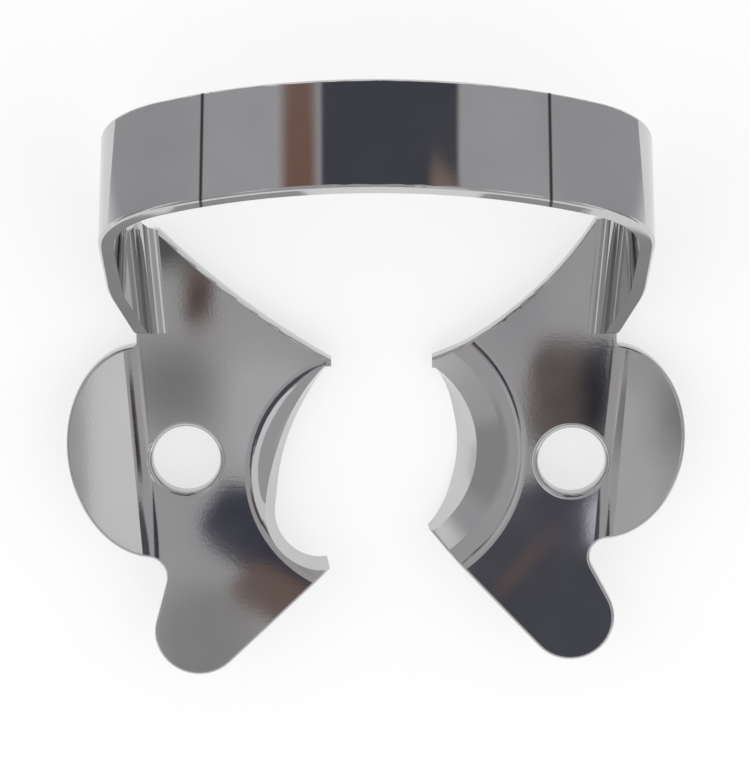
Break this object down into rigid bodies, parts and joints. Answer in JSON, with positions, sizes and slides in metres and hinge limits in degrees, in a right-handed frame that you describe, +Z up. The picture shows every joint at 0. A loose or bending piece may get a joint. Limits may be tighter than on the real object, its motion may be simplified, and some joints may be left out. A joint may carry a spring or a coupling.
{
  "type": "rubber dam clamp",
  "caption": "Winged molar clamp that grips a tooth with pronged jaws and holds a rubber dam, with a sprung bow and forceps holes.",
  "frame": {"origin": "under the middle of the bounding box, on the surface that the clamp lies on", "axes": "+X from the left jaw to the right jaw, +Y from the front (mesial) lobes to the bow at the back, +Z up as the clamp lies"},
  "size_m": [0.0258, 0.0284, 0.0136],
  "materials": {
    "spring_steel": "mirror polished stainless spring steel with tumbled edges"
  },
  "bodies": {
    "root": {"clamp_spring": "spring_steel"}
  },
  "joints": []
}
